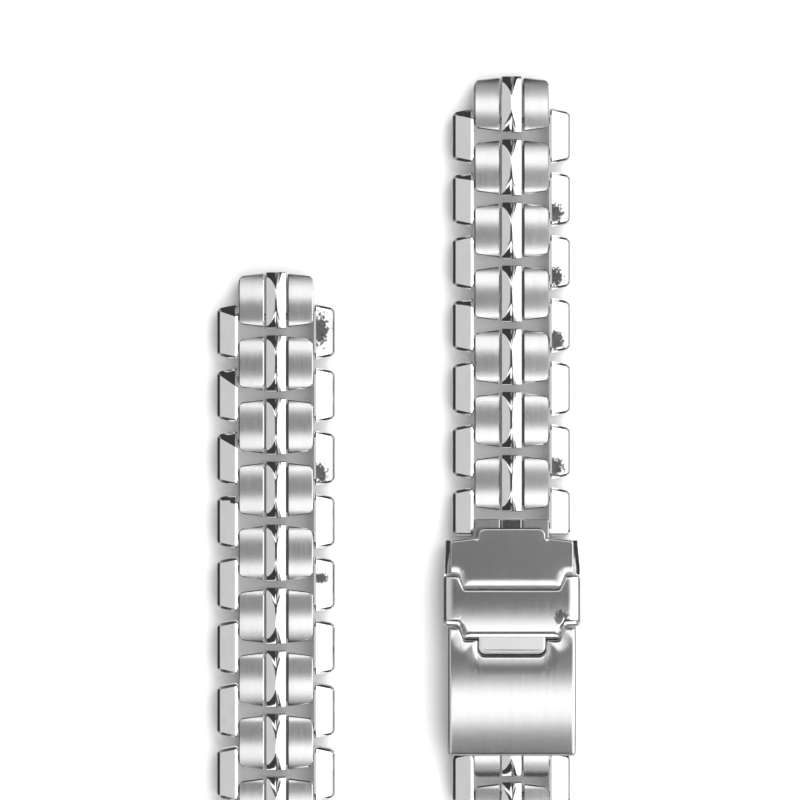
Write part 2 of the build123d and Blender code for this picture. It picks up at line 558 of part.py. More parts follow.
# Cover: arched plate with side walls, notched round the tab, with hangers and adjuster holes
cover_start = CATCH_SIDE_END + COVER_SEAM
with BuildPart() as cover:
    with BuildSketch(plan(RIGHT_X, CLASP_Y, COVER_SKIRT_HEIGHT)):
        with BuildLine():
            half = COVER_WIDTH / 2
            notch = TAB_WIDTH / 2 + COVER_SEAM
            right = [(TAB_END + COVER_SEAM, notch), (CATCH_END + COVER_SEAM, notch),
                     (CATCH_END + COVER_SEAM, STEP_WIDTH_IN / 2), (cover_start, STEP_WIDTH_OUT / 2),
                     (cover_start, half), (COVER_END, half)]
            radii = [TAB_RADIUS, 0, STEP_RADIUS, STEP_RADIUS, 0, COVER_CORNER_RADIUS]
            left = [(drop, -across) for drop, across in reversed(right)]
            FilletPolyline(*right, *left, close=True, radius=radii + radii[::-1])
        make_face()
    extrude(amount=COVER_CROWN_HEIGHT)
    with BuildSketch(side_view(RIGHT_X, CLASP_Y)):
        with BuildLine():
            arch = ThreePointArc((cover_start, COVER_FRONT_HEIGHT),
                                 ((cover_start + COVER_END) / 2, COVER_CROWN_HEIGHT),
                                 (COVER_END, COVER_BACK_HEIGHT))
            Polyline(arch @ 1, (COVER_END, COVER_SKIRT_HEIGHT), (cover_start, COVER_SKIRT_HEIGHT), arch @ 0)
        make_face()
    extrude(amount=COVER_WIDTH, both=True, mode=Mode.INTERSECT)
    with BuildSketch(plan(RIGHT_X, CLASP_Y, 0)):
        with Locations((COVER_END / 2, 0)):
            Rectangle(COVER_END + OVERRUN, COVER_WIDTH - COVER_WALL * 2)
    extrude(amount=COVER_UNDERSIDE, mode=Mode.SUBTRACT)
    with BuildSketch(end_view(RIGHT_X, CLASP_Y)):
        with BuildLine():
            half = COVER_WIDTH / 2
            Polyline((-half, 0), (-half, COVER_SIDE_HEIGHT), (COVER_EDGE_BEVEL - half, COVER_CROWN_HEIGHT),
                     (half - COVER_EDGE_BEVEL, COVER_CROWN_HEIGHT), (half, COVER_SIDE_HEIGHT),
                     (half, 0), close=True)
        make_face()
    extrude(amount=COVER_END + OVERRUN, mode=Mode.INTERSECT)
    for hand in (-1, 1):
        with BuildSketch(side_view(RIGHT_X + hand * (hanger_in + hanger_out) / 2, CLASP_Y)):
            with Locations((LINK_HINGE_DROP, LINK_HINGE_HEIGHT)):
                RegularPolygon(LINK_KNUCKLE_RADIUS, KNUCKLE_SIDES)
            with BuildLine():
                Polyline((LINK_HINGE_DROP - LINK_KNUCKLE_RADIUS, LINK_HINGE_HEIGHT),
                         (LINK_HINGE_DROP + LINK_KNUCKLE_RADIUS, LINK_HINGE_HEIGHT),
                         (LINK_HINGE_DROP + LINK_KNUCKLE_RADIUS, COVER_UNDERSIDE + SMALL_RADIUS),
                         (LINK_HINGE_DROP - LINK_KNUCKLE_RADIUS, COVER_UNDERSIDE + SMALL_RADIUS), close=True)
            make_face()
            with Locations((LINK_HINGE_DROP, LINK_HINGE_HEIGHT)):
                RegularPolygon(HINGE_PIN_RADIUS + HINGE_PIN_CLEARANCE, PIN_SIDES, major_radius=False,
                               mode=Mode.SUBTRACT)
        extrude(amount=HANGER_WIDTH / 2, both=True)
    with BuildSketch(side_view(RIGHT_X, CLASP_Y)):
        for step in range(ADJUSTER_HOLES):
            with Locations((ADJUSTER_DROP - ADJUSTER_STEP * step, PIN_HEIGHT)):
                RegularPolygon(ADJUSTER_HOLE_RADIUS, PIN_SIDES, major_radius=False)
    extrude(amount=COVER_WIDTH, both=True, mode=Mode.SUBTRACT)
save(cover.part, "clasp_cover")

# Spring bar in the adjuster holes
with BuildPart() as adjuster_bar:
    with BuildSketch(side_view(RIGHT_X, CLASP_Y)):
        with Locations((ADJUSTER_DROP, PIN_HEIGHT)):
            RegularPolygon(ADJUSTER_BAR_RADIUS, PIN_SIDES)
    extrude(amount=COVER_WIDTH / 2 - COVER_WALL - ADJUSTER_BAR_GAP, both=True)
    with BuildSketch(side_view(RIGHT_X, CLASP_Y)):
        with Locations((ADJUSTER_DROP, PIN_HEIGHT)):
            RegularPolygon(ADJUSTER_TIP_RADIUS, PIN_SIDES)
    extrude(amount=COVER_WIDTH / 2, both=True)
save(adjuster_bar.part, "adjuster_spring_bar")

# Links below the clasp
end_link_end = END_LINK_PIN_STEP + END_LINK_TAIL
centre_block("stub_end_link", RIGHT_X, CLASP_Y - ADJUSTER_DROP, link_outline(-END_LINK_NOSE, end_link_end),
             ((0, ADJUSTER_BAR_RADIUS + PIN_CLEARANCE, False), (END_LINK_PIN_STEP, BORE_RADIUS, False)),
             -END_LINK_NOSE, end_link_end, 0, 0)
side_pair("stub_side_links", RIGHT_X, STUB_PAIR_Y, -half_side, half_side, both_pins)
centre_link("stub_centre_link", RIGHT_X, STUB_CENTRE_Y, pin_bore, (BORE_RADIUS, True))
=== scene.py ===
"""Looks of the steel link bracelet: brushed and polished links, clasp, floor, lights and camera.

Sizes are in millimetres until a mesh is made. Stains, lights and camera are in metres. "u" is the
distance down a length from CLASP_Y, and "hand" is -1 on the left side and 1 on the right side.
"""

import math

import bmesh
import bpy
import numpy as np
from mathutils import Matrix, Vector


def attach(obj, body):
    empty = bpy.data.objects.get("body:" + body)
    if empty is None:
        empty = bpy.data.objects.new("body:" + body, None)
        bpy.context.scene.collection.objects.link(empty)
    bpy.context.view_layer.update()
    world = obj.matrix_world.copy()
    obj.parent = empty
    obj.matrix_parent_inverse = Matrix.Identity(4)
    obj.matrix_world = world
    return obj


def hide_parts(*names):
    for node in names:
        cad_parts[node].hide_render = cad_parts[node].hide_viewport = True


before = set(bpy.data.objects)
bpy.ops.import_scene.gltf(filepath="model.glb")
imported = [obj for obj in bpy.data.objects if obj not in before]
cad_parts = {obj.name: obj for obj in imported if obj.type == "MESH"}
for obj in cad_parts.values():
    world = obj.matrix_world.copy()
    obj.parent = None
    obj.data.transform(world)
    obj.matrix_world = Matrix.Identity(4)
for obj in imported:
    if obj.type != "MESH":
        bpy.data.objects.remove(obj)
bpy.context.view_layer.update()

MM = 0.001

# Layout, as packed
LEFT_X, RIGHT_X = -19.175, 17.625
LEFT_TOP, RIGHT_TOP = 26.57, 57.17
CLASP_Y = -8.625
PITCH = 9.86
PIN_OFFSET = PITCH / 4
LEFT_LINKS, RIGHT_LINKS = 9, 7
STUB_END_U = 33.55
STUB_END_Y = CLASP_Y - STUB_END_U
STUB_PAIR_Y = -48.22
STUB_CENTRE_Y = -53.15

# Links
THICK = 3.2
CROWN = 0.22
FLANK_CROWN = 0.31
BAR_HALF, BAR_LONG = 1.55, 4.4
GROOVE = 0.3
CENTRE_HALF = 5.8
SIDE_IN, SIDE_OUT = 5.95, 9.15
SIDE_WIDE = SIDE_OUT - SIDE_IN
SIDE_LONG, SIDE_SETBACK = 4.33, 0.6
SIDE_LEAN = 0.62
WEDGE_SLOPE, WEDGE_OUTER = 0.32, 1.0
PIN_R, PIN_Z = 0.5, 1.6
CASE_BORE_R, PARTED_BORE_R = 0.9, 0.55

# Places of the cuts along and across a link that let its top curve
LINK_SPANS = (0.15, 0.3, 0.45, 0.57, 0.67, 0.75, 0.82, 0.88, 0.93, 0.97)
BAR_SPANS = sorted([*LINK_SPANS, 0.34, 0.38, 0.42, 0.48, 0.51, 0.54, 0.6, 0.635, 0.71, 0.785])
BAR_COLUMNS = (0.08, 0.17, 0.3, 0.5, 0.67, 0.85, 1.02, 1.2, 1.35)
SIDE_SPANS = (0.25, 0.5, 0.68, 0.8, 0.9, 0.96)
FLANK_COLUMN = 1.3
SIDE_COLUMNS = (1.0, 2.1)

# Clasp
HOOD_HALF, CATCH_HALF, COVER_HALF = 9.6, 10.7, 10.0
STEP_OUT, STEP_IN = 8.3, 7.5
TAB_HALF, TAB_START, TAB_END = 5.225, 16.75, 20.0
TAB_CREASE = 19.42
CATCH_BRINK, COVER_BRINK = 10.25, 9.72
CHEEK_IN = 8.9
DECK_START, DECK_END = 2.6, 15.2
STUD_U, STUD_Z = 4.5, 2.2
HINGE_U, HINGE_Z = 18.7, 2.0
FORK_IN, FORK_OUT = 5.5, 6.9
HANGER_IN, HANGER_OUT = 7.05, 8.45
FOLD_U, FOLD_Z = 30.6, 0.95
FOLD_INNER, FOLD_GAP, FOLD_OUTER = 4, 4.15, 7.5
KNUCKLE_START = 29.2
KNUCKLE_R, HINGE_R, HINGE_PIN_R = 0.9, 0.8, 0.4
BLADE_THICK, MIDDLE_BLADE_Z = 0.8, 1.1
ADJUSTER_STEP, ADJUSTER_R = 2.6, 0.45

# Studio, in metres
VIEW = Vector((0.0002, 0.0110, 0.0))
DISTANCE, ROOF = 0.60, 0.70
LINK_TOP, FRAME_WIDTH, SENSOR = 0.0032, 0.1248, 36


# ---------------------------------------------------------------- materials
def new_material(name, base, rough):
    """Plain metal, its shader and its node tree."""
    mat = bpy.data.materials.new(name)
    mat.use_nodes = True
    shader = mat.node_tree.nodes["Principled BSDF"]
    shader.inputs["Base Color"].default_value = (base, base, base * 1.005, 1)
    shader.inputs["Metallic"].default_value = 1
    shader.inputs["Roughness"].default_value = rough
    return mat, mat.node_tree, shader


def node(tree, kind, **values):
    """A new node with some of its inputs or settings filled in."""
    made = tree.nodes.new(kind)
    for key, value in values.items():
        if key in made.inputs:
            made.inputs[key].default_value = value
        else:
            setattr(made, key, value)
    return made


def coords(tree, scale):
    """Object coordinates, moved by a different amount on each object, and scaled."""
    place = node(tree, "ShaderNodeTexCoord")
    info = node(tree, "ShaderNodeObjectInfo")
    shift = node(tree, "ShaderNodeVectorMath", operation="MULTIPLY_ADD")
    tree.links.new(info.outputs["Random"], shift.inputs[0])
    shift.inputs[1].default_value = (0.7, 0.9, 0.3)
    tree.links.new(place.outputs["Object"], shift.inputs[2])
    scaled = node(tree, "ShaderNodeVectorMath", operation="MULTIPLY")
    scaled.inputs[1].default_value = scale
    tree.links.new(shift.outputs[0], scaled.inputs[0])
    return scaled.outputs[0]


def noise(tree, scale, detail=2.0):
    """Noise with this many periods per metre along each axis."""
    made = node(tree, "ShaderNodeTexNoise", Scale=1.0, Detail=detail)
    tree.links.new(coords(tree, scale), made.inputs["Vector"])
    return made.outputs["Fac"]


def spread(tree, source, low_in, high_in, low, high):
    """The source's range from low_in to high_in, spread from low to high."""
    made = node(tree, "ShaderNodeMapRange")
    names = ("From Min", "From Max", "To Min", "To Max")
    for name, value in zip(names, (low_in, high_in, low, high)):
        made.inputs[name].default_value = value
    tree.links.new(source, made.inputs["Value"])
    return made.outputs["Result"]


def grey(tree, value):
    """The value as a grey colour."""
    made = node(tree, "ShaderNodeCombineColor")
    for channel in ("Red", "Green", "Blue"):
        tree.links.new(value, made.inputs[channel])
    return made.outputs["Color"]


def paint_dark_reflection(tree, tone, base, reflection_patch, dark):
    """The tone with a painted dark reflection: a ragged dark patch. The patch argument holds its
    middle x, y and half sizes in metres.
    """
    x, y, wide, high = reflection_patch
    place = node(tree, "ShaderNodeTexCoord")
    away = node(tree, "ShaderNodeVectorMath", operation="MULTIPLY_ADD")
    tree.links.new(place.outputs["Object"], away.inputs[0])
    away.inputs[1].default_value = (1 / wide, 1 / high, 0)
    away.inputs[2].default_value = (-x / wide, -y / high, 0)
    far = node(tree, "ShaderNodeVectorMath", operation="LENGTH")
    tree.links.new(away.outputs[0], far.inputs[0])
    ragged = node(tree, "ShaderNodeMath", operation="MULTIPLY_ADD")
    tree.links.new(noise(tree, (2600, 2200, 2600), 4), ragged.inputs[0])
    ragged.inputs[1].default_value = -1.35
    tree.links.new(far.outputs["Value"], ragged.inputs[2])
    # Painted dark reflection: the colour is lowered inside the ragged patch.
    mask = spread(tree, ragged.outputs[0], -0.20, 0.07, base - dark, 0.0)
    less = node(tree, "ShaderNodeMath", operation="SUBTRACT")
    tree.links.new(tone, less.inputs[0])
    tree.links.new(mask, less.inputs[1])
    return less.outputs[0]


def brushed(name, base, rough, across=6000, along=250, streak=0.03, spin=0.88, reflection_patch=None):
    """Steel brushed along Y: fine streaks in colour and roughness, and a stretched gloss. A given
    patch paints a dark reflection into the colour.
    """
    mat, tree, shader = new_material(name, base, rough)
    fine = noise(tree, (across, along, across), 3)
    broad = noise(tree, (across / 5, along / 2, across / 5))
    uneven = spread(tree, fine, 0.3, 0.7, rough - 0.012, rough + 0.012)
    tree.links.new(uneven, shader.inputs["Roughness"])
    both = node(tree, "ShaderNodeMath", operation="ADD")
    tree.links.new(fine, both.inputs[0])
    tree.links.new(broad, both.inputs[1])
    tone = spread(tree, both.outputs[0], 0.7, 1.3, base - streak, base + streak * 0.6)
    if reflection_patch:
        tone = paint_dark_reflection(tree, tone, base, reflection_patch, 0.22)
    tree.links.new(grey(tree, tone), shader.inputs["Base Color"])
    tangent = node(tree, "ShaderNodeTangent", direction_type="UV_MAP", uv_map="grain")
    tree.links.new(tangent.outputs["Tangent"], shader.inputs["Tangent"])
    shader.inputs["Anisotropic"].default_value = spin
    return mat


def polished(name, base=0.88, rough=0.05, reflection_patch=None):
    """Mirror steel with faint handling marks and waves. A given patch paints a dark reflection into
    the colour.
    """
    mat, tree, shader = new_material(name, base, rough)
    marks = noise(tree, (900, 500, 900), 4)
    uneven = spread(tree, marks, 0.35, 0.75, rough, rough + 0.07)
    tree.links.new(uneven, shader.inputs["Roughness"])
    waves = noise(tree, (260, 180, 260), 1)
    bump = node(tree, "ShaderNodeBump", Strength=0.15, Distance=0.00003)
    tree.links.new(waves, bump.inputs["Height"])
    tree.links.new(bump.outputs["Normal"], shader.inputs["Normal"])
    tone = spread(tree, marks, 0.3, 0.7, base - 0.03, base + 0.02)
    if reflection_patch:
        tone = paint_dark_reflection(tree, tone, base, reflection_patch, 0.09)
    tree.links.new(grey(tree, tone), shader.inputs["Base Color"])
    return mat


BRUSHED = brushed("steel_brushed", 0.84, 0.24, streak=0.035, spin=0.85)
BRUSHED_CLASP = brushed("steel_brushed_clasp", 0.80, 0.2, across=7000, along=160, streak=0.028,
                        spin=0.7)
# The catch's satin steel has a painted dark reflection at one place.
SATIN = brushed("steel_satin", 0.84, 0.19, along=200, streak=0.015, spin=0.6,
                reflection_patch=(0.0077, -0.0142, 0.0018, 0.0016))
PEARL = brushed("steel_pearl", 0.88, 0.36, along=200, streak=0.008, spin=0.4)
# Dark steel: painted shade on link ends, groove bottoms, cores and hole walls.
DARK_PAINTED_SHADE = brushed("steel_painted_shade", 0.22, 0.40, across=4000, along=4000)
# Darker inner steel: painted shade on the parts that lie low, inside or under the clasp's plates.
INNER_PAINTED_SHADE = brushed("steel_inner_painted_shade", 0.40, 0.3, across=5000, along=300)
POLISHED = polished("steel_polished")
# Mirror steels with a painted dark reflection, each at its own place.
MIRROR_PAINTED_REFLECTION = polished("steel_polished_painted_reflection", reflection_patch=(0.0067, -0.0023, 0.0022, 0.0024))
MIRROR_PAINTED_REFLECTION_HIGH = polished("steel_polished_painted_reflection_high", reflection_patch=(0.0070, 0.0010, 0.0019, 0.0013))
MIRROR_PAINTED_REFLECTION_FIRST = polished("steel_polished_painted_reflection_first", reflection_patch=(0.0067, 0.0003, 0.0024, 0.0042))


# ---------------------------------------------------------------- mesh tools
def rect(x0, x1, u0, u1):
    """Rectangle between two places across and two distances down a length."""
    return [(x0, -u1), (x1, -u1), (x1, -u0), (x0, -u0)]


def mirrored(near, far):
    """The spans (x0, x1) between two distances from the middle, on the left and on the right."""
    return (-far, -near), (near, far)


def both_ways(values):
    """The ascending values with their mirror images and the middle."""
    return [*(-value for value in reversed(values)), 0, *values]


def rounded(points, radii, steps):
    """Points of an open outline with its inner corners rounded in that many steps."""
    out = [points[0]]
    for i in range(1, len(points) - 1):
        p, q, r = (Vector(points[k]) for k in (i - 1, i, i + 1))
        radius = radii[i]
        if not radius:
            out.append(points[i])
            continue
        a, b = (p - q).normalized(), (r - q).normalized()
        half = a.angle(b) / 2
        reach = radius / math.tan(half)
        centre = q + (a + b).normalized() * radius / math.sin(half)
        start, end = q + a * reach - centre, q + b * reach - centre
        swing = start.angle_signed(end)
        for k in range(steps + 1):
            turn = -swing * k / steps
            out.append((centre.x + start.x * math.cos(turn) - start.y * math.sin(turn),
                        centre.y + start.x * math.sin(turn) + start.y * math.cos(turn)))
    out.append(points[-1])
    return out


def soft_corners(outline, radius, steps, hand):
    """Outline of six points with its four outer corners rounded, mirrored for the left side."""
    radii = (0, radius, radius, 0)
    ring = [outline[0], *rounded(outline[0:4], radii, steps)[1:-1],
            *rounded(outline[2:6], radii, steps)[1:-1], outline[-1]]
    return [(-x, y) for x, y in reversed(ring)] if hand < 0 else ring


def finish_mesh(name, bm, slots, sharp=18):
    """Mesh in metres with smooth faces, weighted normals and a UV map along the grain."""
    mesh = bpy.data.meshes.new(name)
    bmesh.ops.recalc_face_normals(bm, faces=bm.faces)
    bm.to_mesh(mesh)
    bm.free()
    for mat in slots:
        mesh.materials.append(mat)
    mesh.transform(((MM, 0, 0, 0), (0, MM, 0, 0), (0, 0, MM, 0), (0, 0, 0, 1)))
    mesh.shade_smooth()
    mesh.set_sharp_from_angle(angle=math.radians(sharp))
    grain_map(mesh)
    return weighted(mesh)


def grain_map(mesh):
    """UV map whose first axis runs across the grain."""
    mesh.uv_layers.new(name="grain")
    spots = np.empty(len(mesh.vertices) * 3)
    mesh.vertices.foreach_get("co", spots)
    spots = spots.reshape(-1, 3)
    corners = np.empty(len(mesh.loops), dtype=np.int64)
    mesh.loops.foreach_get("vertex_index", corners)
    at = spots[corners]
    uv = np.stack([at[:, 0] * 40 + at[:, 2] * 23, at[:, 1] * 40], axis=1)
    mesh.uv_layers["grain"].data.foreach_set("uv", uv.ravel())


def weighted(mesh):
    """The mesh with area-weighted normals, so that flat faces stay flat beside their bevels."""
    holder = bpy.data.objects.new("holder", mesh)
    bpy.context.collection.objects.link(holder)
    step = holder.modifiers.new("normals", "WEIGHTED_NORMAL")
    step.keep_sharp = True
    step.weight = 80
    graph = bpy.context.evaluated_depsgraph_get()
    out = bpy.data.meshes.new_from_object(holder.evaluated_get(graph))
    bpy.data.objects.remove(holder)
    return out


def block(outline, low, high, shape=None, cuts_x=(), cuts_y=(), bevel=0.12, segments=3, slot=0,
          bevel_slot=1, end_slot=None, flatten=1.0, cuts=()):
    """Extruded outline with bevelled edges, cut into strips and then shaped.

    flatten is the share of the top bevels' height that is kept, as a number or by x and y.
    """
    bm = bmesh.new()
    face = bm.faces.new([bm.verts.new((x, y, low)) for x, y in outline])
    top = bmesh.ops.extrude_face_region(bm, geom=[face])
    for v in top["geom"]:
        if isinstance(v, bmesh.types.BMVert):
            v.co.z = high
    bmesh.ops.recalc_face_normals(bm, faces=bm.faces)
    for f in bm.faces:
        f.material_index = slot
    if bevel:
        edges = [e for e in bm.edges
                 if len(e.link_faces) == 2 and e.calc_face_angle() > math.radians(35)]
        bmesh.ops.bevel(bm, geom=edges, offset=bevel, segments=segments, profile=0.5,
                        affect="EDGES", clamp_overlap=True, material=bevel_slot)
    across = [((place, 0, 0), (1, 0, 0)) for place in cuts_x]
    along = [((0, place, 0), (0, 1, 0)) for place in cuts_y]
    for place, normal in (*across, *along, *cuts):
        bmesh.ops.bisect_plane(bm, geom=[*bm.verts, *bm.edges, *bm.faces], plane_co=place,
                               plane_no=normal, dist=1e-4)
    if end_slot is not None:
        bm.normal_update()
        for f in bm.faces:
            if abs(f.normal.y) > 0.75:
                f.material_index = end_slot
    if flatten != 1:
        crease = high - bevel
        for v in bm.verts:
            if v.co.z > crease - 0.05:
                kept = flatten(v.co.x, v.co.y) if callable(flatten) else flatten
                v.co.z += (1 - kept) * (bevel - max(0.0, v.co.z - crease))
    if shape:
        for v in bm.verts:
            v.co = shape(*v.co)
    return bm


def cylinder(x0, x1, y, z, radius, sides=28, bevel=0.07, slot=0):
    """Pin along X."""
    bm = bmesh.new()
    rings = []
    for x, r in ((x0, radius - bevel), (x0 + bevel, radius), (x1 - bevel, radius),
                 (x1, radius - bevel)):
        turns = [2 * math.pi * k / sides for k in range(sides)]
        rings.append([bm.verts.new((x, y + r * math.cos(turn), z + r * math.sin(turn)))
                      for turn in turns])
    for a, b in zip(rings, rings[1:]):
        for k in range(sides):
            bm.faces.new((a[k], a[(k + 1) % sides], b[(k + 1) % sides], b[k]))
    bm.faces.new(rings[0][::-1])
    bm.faces.new(rings[-1])
    for f in bm.faces:
        f.material_index = slot
    return bm


def join(parts):
    """Several bmeshes as one."""
    out = bmesh.new()
    for bm in parts:
        part = bpy.data.meshes.new("part")
        bm.to_mesh(part)
        bm.free()
        out.from_mesh(part)
        bpy.data.meshes.remove(part)
    return out


def drill(bm, holes):
    """The bmesh with round holes along X. holes holds (x0, x1, y, z, radius)."""
    def holder(source, name):
        mesh = bpy.data.meshes.new(name)
        bmesh.ops.recalc_face_normals(source, faces=source.faces)
        source.to_mesh(mesh)
        source.free()
        for _ in range(3):
            mesh.materials.append(None)
        made = bpy.data.objects.new(name, mesh)
        bpy.context.collection.objects.link(made)
        return made

    body = holder(bm, "drilled")
    cutters = []
    for hole in holes:
        # Hole walls take slot 2, a darker steel: painted shade.
        cutter = holder(cylinder(*hole, bevel=0.0001, sides=36, slot=2), "cutter")
        step = body.modifiers.new("hole", "BOOLEAN")
        step.object, step.operation, step.solver = cutter, "DIFFERENCE", "EXACT"
        cutters.append(cutter)
    graph = bpy.context.evaluated_depsgraph_get()
    cut = bpy.data.meshes.new_from_object(body.evaluated_get(graph))
    out = bmesh.new()
    out.from_mesh(cut)
    for made in (body, *cutters):
        bpy.data.objects.remove(made)
    bpy.data.meshes.remove(cut)
    return out


def piece(name, mesh, x, y, body, *nodes, slot="polished"):
    """An object of this mesh at x, y, riding on a body and standing for CAD nodes."""
    made = bpy.data.objects.new(name, mesh)
    bpy.context.collection.objects.link(made)
    made.location = (x * MM, y * MM, 0)
    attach(made, body)
    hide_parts(*nodes)


# ---------------------------------------------------------------- links
def soft_edge(y, half, reach, drop):
    """Extra fall that begins at this reach from a link's end and ends at the drop."""
    t = max(0.0, (abs(y) - (half - reach)) / reach)
    return drop * t * t


def top_share(z):
    """Share of the top's fall that a point at this height takes."""
    return min(1.0, max(0.0, (z - 1.2) / 1.4))


def centre_mesh(name, up=BAR_LONG, down=BAR_LONG, tilt=0.0, setback=0.5, step=0.2, holes=()):
    """Grooved centre link from y = up to y = -down, as two brushed flanks and a polished bar.

    tilt is the y of the crown's crest. The flanks end a step before the bar, and at their outer
    side a setback before that.
    """
    half, middle = (up + down) / 2, (up - down) / 2
    inner, outer = BAR_HALF + GROOVE, CENTRE_HALF
    near, far = half - step, half - step - setback

    def crown(y, rise):
        return rise * ((y - tilt) / half) ** 2 + 0.02 * abs(tilt)

    def flank(x, y, z):
        lean = max(0.0, (abs(x) - inner) / (outer - inner))
        fall = crown(y, FLANK_CROWN) + soft_edge(y, near, 0.9, 0.06) + 0.05 * lean ** 1.5
        end_in = 1 - 0.05 * max(0.0, (PIN_Z - z) / PIN_Z)
        return Vector((x, y * end_in + middle, z - top_share(z) * fall))

    def bar(x, y, z):
        roof = 0.2 * (math.sqrt(x * x + 0.02) - math.sqrt(0.02)) + 0.02 * x * x
        away = -x / BAR_HALF if x < 0 else x / 0.8
        reach = 1.3 + 2.2 * max(0.0, 1 - away) ** 1.6
        drop = (0.17 - 0.11 * min(1.0, max(0.0, x) / 0.6)) * reach
        fall = crown(y, CROWN) * 0.8 + soft_edge(y, half, reach, drop) + roof
        return Vector((x, y + middle, z - top_share(z) * fall))

    outline = [(inner, -near), (outer - 0.45, -far - 0.06), (outer, -far + 0.4),
               (outer, far - 0.4), (outer - 0.45, far + 0.06), (inner, near)]
    parts = []
    # Ends of the flanks and bar, facing the gaps, take the dark steel of slot 2: painted shade.
    for hand in (-1, 1):
        column = hand * (inner + outer) / 2
        parts.append(block(soft_corners(outline, 0.8, 4, hand), 0, THICK, flank,
                           (column - FLANK_COLUMN, column, column + FLANK_COLUMN),
                           [half * share for share in both_ways(LINK_SPANS)],
                           bevel=0.16, segments=1, end_slot=2,
                           flatten=lambda x, y: 0.75 if abs(y) > half - 1 else 0.6))
    parts.append(block(rect(-BAR_HALF, BAR_HALF, -half, half), 0, THICK, bar,
                       both_ways(BAR_COLUMNS), [half * share for share in both_ways(BAR_SPANS)],
                       bevel=0.1, slot=1, end_slot=2, flatten=0.8))
    # Core in the dark steel: painted shade at the bottom of the grooves.
    core_half, core_long = CENTRE_HALF - 0.3, half - 0.9
    parts.append(block(rect(-core_half, core_half, -core_long, core_long), 0.25,
                       THICK - CROWN - 0.35, lambda x, y, z: Vector((x, y + middle, z)),
                       bevel=0, slot=2))
    bm = join(parts)
    if holes:
        bm = drill(bm, holes)
    return finish_mesh(name, bm, [BRUSHED, POLISHED, DARK_PAINTED_SHADE])


def side_shape(hand, start, end, pins, square, wedge):
    """Side link from y = start to y = end with pin holes: flat polished top that leans outwards.

    square draws the lower end square on top and round below. A wedge creases the upper end of a
    left link, from this far down its inner side to WEDGE_OUTER down its outer side.
    """
    tail = 0 if square else SIDE_SETBACK
    creased = wedge > 0 and hand < 0
    middle, half = (start + end) / 2, (start - end) / 2
    outline = [(SIDE_IN, end), (SIDE_OUT - 0.45, end + tail), (SIDE_OUT, end + tail + 0.45),
               (SIDE_OUT, start - SIDE_SETBACK - 0.45), (SIDE_OUT - 0.45, start - SIDE_SETBACK),
               (SIDE_IN, start)]

    def wedge_line(x):
        return start - wedge + (wedge - WEDGE_OUTER) * (x - SIDE_IN) / SIDE_WIDE

    def shape(x, y, z):
        fall = (CROWN * 0.7 * ((y - middle) / half) ** 2
                + SIDE_LEAN * (abs(x) - SIDE_IN) / SIDE_WIDE
                + soft_edge(y - middle, half, 0.8, 0.1))
        if creased:
            fall += WEDGE_SLOPE * max(0.0, y - wedge_line(abs(x)))
        fall *= top_share(z)
        if not square or y >= 0:
            return Vector((x, y, z - fall))
        upper = z > PIN_Z
        power = 9 if upper else 2
        squeeze = max(0.05, 1 - (y / end) ** power) ** (1 / power) if y > end else 0.2
        return Vector((x, y * (0.94 if upper else 1), PIN_Z + (z - PIN_Z - fall) * squeeze))

    def edge_fall(x, y):
        at_end = abs(y - middle) > half - 0.9
        return 0.75 if at_end and not (creased and y > middle) else 0.45

    cuts = []
    if creased:
        cuts.append(((-SIDE_IN, wedge_line(SIDE_IN), 0),
                     (wedge_line(SIDE_OUT) - wedge_line(SIDE_IN), SIDE_WIDE, 0)))
    bm = block(soft_corners(outline, 0.5, 3, hand), 0, THICK, shape,
               [hand * (SIDE_IN + column) for column in SIDE_COLUMNS],
               [middle + half * share for share in both_ways(SIDE_SPANS)],
               bevel=0.42 if hand < 0 else 0.32, segments=1, flatten=edge_fall, cuts=cuts)
    x0, x1 = sorted((hand * (SIDE_OUT - 1.2), hand * (SIDE_OUT + 1)))
    return drill(bm, [(x0, x1, y, PIN_Z, PIN_R + 0.02) for y in pins])


def pair_mesh(name, start=SIDE_LONG, end=-SIDE_LONG, pins=(PIN_OFFSET, -PIN_OFFSET),
              open_pin=None, square=False, reflection_steel=None, wedge=0.0):
    """Two side links with their pins. The steel with a painted dark reflection, if given, covers
    the right link's flat faces.
    """
    parts = []
    for hand in (-1, 1):
        bm = side_shape(hand, start, end, pins, square, wedge)
        for f in bm.faces:
            if hand > 0 and f.material_index == 0:
                f.material_index = 3
        parts.append(bm)
    # Pins and the walls of the pin holes take the darker inner steel: painted shade.
    pin_half = SIDE_OUT - 0.15
    parts += [cylinder(-pin_half, pin_half, y, PIN_Z, PIN_R, slot=2) for y in pins if y != open_pin]
    return finish_mesh(name, join(parts), [POLISHED, POLISHED, INNER_PAINTED_SHADE, reflection_steel or POLISHED])


def centre_hole(y, radius):
    """Hole through the whole width of a centre link, for drill."""
    return -7, 7, y, PIN_Z, radius


standard = [centre_mesh(f"centre_{k}", tilt=tilt) for k, tilt in enumerate((0.0, -0.7, 0.5))]
first = centre_mesh("centre_first", tilt=-1.2, holes=[centre_hole(PIN_OFFSET, CASE_BORE_R)])
last = centre_mesh("centre_last", holes=[centre_hole(-PIN_OFFSET, PARTED_BORE_R)])
end_link = centre_mesh("centre_end", 1.25, 5.61, setback=0, step=0)

pair = pair_mesh("pair")
